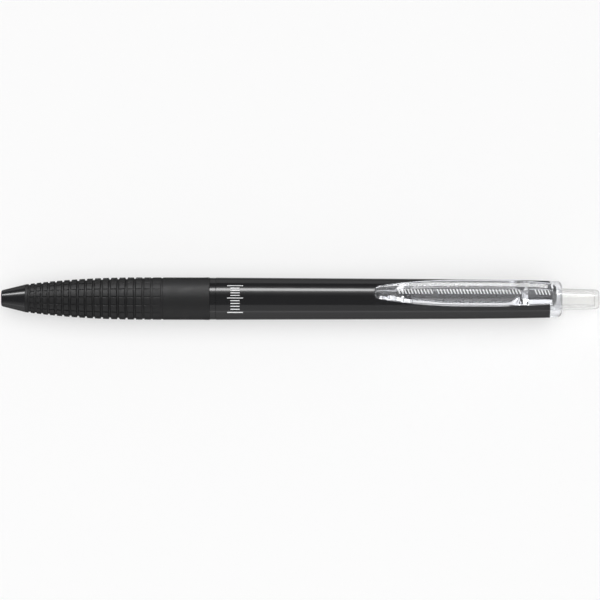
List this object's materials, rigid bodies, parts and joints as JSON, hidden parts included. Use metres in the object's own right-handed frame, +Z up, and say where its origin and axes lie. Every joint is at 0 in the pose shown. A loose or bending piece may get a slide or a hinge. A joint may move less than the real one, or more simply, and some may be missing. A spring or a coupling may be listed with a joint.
{
  "type": "gel pen",
  "caption": "Retractable gel pen with a black barrel, ribbed cushion grip, clear pocket clip and clear push button; pressing the button slides the refill's point out of the mouth.",
  "frame": {"origin": "below the middle of the pen's length, at the height of the lowest point of its barrel as it lies clip up", "axes": "+X along the pen from its writing end to its push button, +Z up through the clip, +Y across"},
  "size_m": [0.1434, 0.0102, 0.0132],
  "materials": {
    "barrel_plastic": "gloss moulded",
    "grip_rubber": "matte moulded",
    "clear_plastic": "clear polished",
    "white_plastic": "satin moulded",
    "spring_steel": "drawn wire",
    "refill_plastic": "translucent extruded",
    "tip_metal": "turned",
    "ball_carbide": "ground",
    "gel_ink": "wet",
    "grease": "wet, translucent"
  },
  "bodies": {
    "barrel": {"front_barrel": "barrel_plastic", "rubber_grip": "grip_rubber", "rear_barrel": "barrel_plastic", "clip_cap": "clear_plastic", "cam_sleeve": "white_plastic", "return_spring": "spring_steel"},
    "button": {"push_button": "clear_plastic"},
    "rotor": {"cam_rotor": "white_plastic"},
    "refill": {"refill_tube": "refill_plastic", "tip_holder": "white_plastic", "metal_tip": "tip_metal", "ink_column": "gel_ink", "ink_follower": "grease", "tail_plug": "white_plastic"},
    "ball": {"writing_ball": "ball_carbide"}
  },
  "joints": [
    {"name": "button_press", "type": "slide", "parent": "barrel", "child": "button", "axis": [-1, 0, 0], "range_m": [0, 0.0066], "stiffness_N_per_m": 350, "springref_m": -0.004},
    {"name": "rotor_advance", "type": "slide", "parent": "barrel", "child": "rotor", "axis": [-1, 0, 0], "range_m": [0, 0.0066]},
    {"name": "refill_advance", "type": "slide", "parent": "barrel", "child": "refill", "axis": [-1, 0, 0], "range_m": [0, 0.0066], "deforming": ["return_spring"]},
    {"name": "ball_roll", "type": "hinge", "parent": "refill", "child": "ball", "pos_m": [-0.06915, 0, 0.00512], "axis": [0, 1, 0], "continuous": true}
  ],
  "couplings": [
    {"joint": "rotor_advance", "follows": "button_press", "ratio": 1},
    {"joint": "refill_advance", "follows": "button_press", "ratio": 1}
  ]
}
